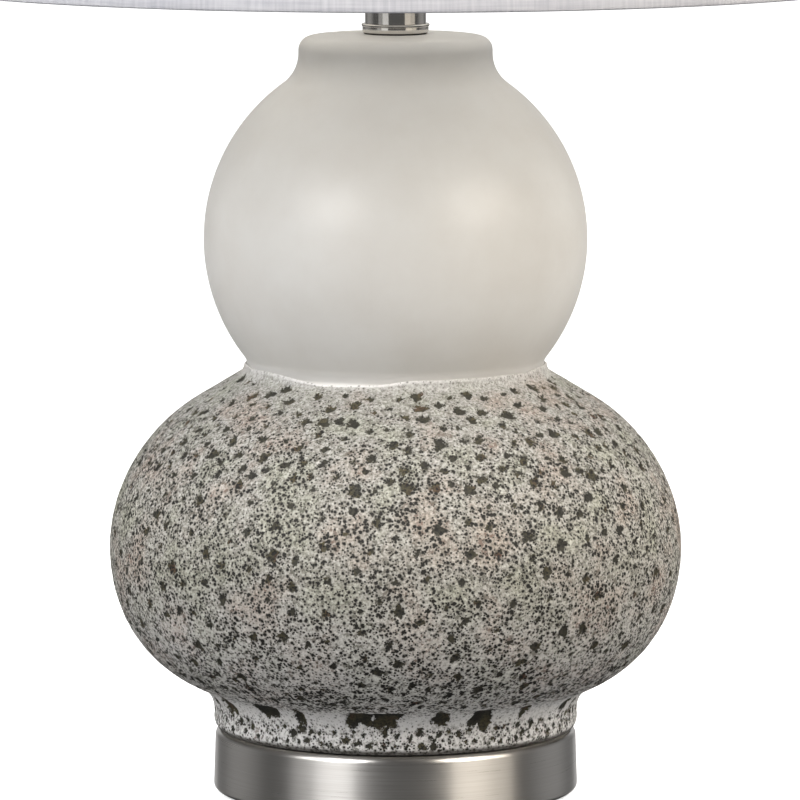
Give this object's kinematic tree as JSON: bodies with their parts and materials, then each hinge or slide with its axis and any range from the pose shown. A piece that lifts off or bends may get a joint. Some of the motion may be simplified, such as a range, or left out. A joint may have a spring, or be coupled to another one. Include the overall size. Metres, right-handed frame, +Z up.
{
  "type": "table lamp",
  "caption": "Two-bulb ceramic table lamp with a cratered lower body, brushed metal drum base and neck, and a fabric drum shade on a harp.",
  "frame": {"origin": "on the surface that the lamp stands on, under its axis", "axes": "+Z up along the lamp's axis, +Y to the back, where the mains lead enters, +X to the right seen from the front"},
  "size_m": [0.4577, 0.4578, 0.6462],
  "materials": {
    "green_felt": "matte",
    "brushed_nickel": "satin",
    "cast_iron": "matte",
    "zinc_plated_steel": "satin",
    "black_nylon": "matte",
    "black_rubber": "matte",
    "satin_ceramic": "satin",
    "cratered_glaze": "matte",
    "nickel_plated_wire": "satin",
    "socket_metal": "satin",
    "insulating_board": "matte",
    "black_phenolic": "satin",
    "contact_brass": "satin",
    "linen": "matte",
    "styrene_liner": "satin",
    "white_wire": "satin",
    "hem_tape": "matte",
    "bulb_diffuser": "satin",
    "bulb_plastic": "satin",
    "bulb_metal": "satin"
  },
  "bodies": {
    "root": {"base_felt": "green_felt", "base_drum": "brushed_nickel", "base_weight": "cast_iron", "base_washer": "zinc_plated_steel", "base_nut": "zinc_plated_steel", "cord_bushing": "black_nylon", "centre_rod": "zinc_plated_steel", "foot_gasket": "black_rubber", "ceramic_lower": "satin_ceramic", "ceramic_upper": "satin_ceramic", "cratered_coat": "cratered_glaze", "collar_seal": "black_rubber", "neck_collar": "brushed_nickel", "neck_tube": "brushed_nickel", "tube_cap": "brushed_nickel", "neck_nut": "zinc_plated_steel", "harp_saddle": "nickel_plated_wire", "socket_cap": "socket_metal", "socket_shell": "socket_metal", "socket_insulator": "insulating_board", "socket_core": "black_phenolic", "screw_shell": "contact_brass", "centre_contact": "contact_brass", "terminal_screws": "contact_brass", "cap_set_screw": "zinc_plated_steel"},
    "harp": {"harp_wire": "nickel_plated_wire", "harp_stud": "nickel_plated_wire"},
    "sleeve_left": {"harp_sleeve_left": "nickel_plated_wire"},
    "sleeve_right": {"harp_sleeve_right": "nickel_plated_wire"},
    "shade": {"shade_linen": "linen", "shade_liner": "styrene_liner", "shade_top_ring": "white_wire", "shade_bottom_ring": "white_wire", "shade_top_hem": "hem_tape", "shade_bottom_hem": "hem_tape", "shade_fitter": "white_wire"},
    "slip_washer": {"finial_slip_washer": "brushed_nickel"},
    "finial": {"finial_knob": "brushed_nickel"},
    "switch": {"switch_shaft": "contact_brass", "switch_knob": "black_phenolic"},
    "bulb_button": {"bulb_contact": "bulb_metal"},
    "bulb": {"bulb_globe": "bulb_diffuser", "bulb_housing": "bulb_plastic", "bulb_screw_base": "bulb_metal", "bulb_insulator": "black_phenolic"}
  },
  "joints": [
    {"name": "harp_lift", "type": "slide", "parent": "root", "child": "harp", "axis": [0, 0, 1], "range_m": [0, 0.03]},
    {"name": "sleeve_left_slide", "type": "slide", "parent": "harp", "child": "sleeve_left", "axis": [0, 0, 1], "range_m": [0, 0.012]},
    {"name": "sleeve_right_slide", "type": "slide", "parent": "harp", "child": "sleeve_right", "axis": [0, 0, 1], "range_m": [0, 0.012]},
    {"name": "shade_swivel", "type": "hinge", "parent": "harp", "child": "shade", "pos_m": [0, 0, 0.6205], "axis": [0, 0, 1], "continuous": true},
    {"name": "finial_rise", "type": "slide", "parent": "harp", "child": "slip_washer", "axis": [0, 0, 1], "range_m": [0, 0.0113]},
    {"name": "finial_turn", "type": "hinge", "parent": "slip_washer", "child": "finial", "pos_m": [0, 0, 0.6231], "axis": [0, 0, 1], "range_deg": [0, 4320]},
    {"name": "knob_turn", "type": "hinge", "parent": "root", "child": "switch", "pos_m": [0, -0.025, 0.40908], "axis": [0, -1, 0], "continuous": true},
    {"name": "bulb_rise", "type": "slide", "parent": "root", "child": "bulb_button", "axis": [0, 0, 1], "range_m": [0, 0.02]},
    {"name": "bulb_turn", "type": "hinge", "parent": "bulb_button", "child": "bulb", "pos_m": [0, 0, 0.4186], "axis": [0, 0, 1], "range_deg": [0, 1980]}
  ],
  "couplings": [
    {"joint": "finial_rise", "follows": "finial_turn", "m_per_rad": 0.00014972},
    {"joint": "bulb_rise", "follows": "bulb_turn", "m_per_rad": 0.00057773}
  ]
}
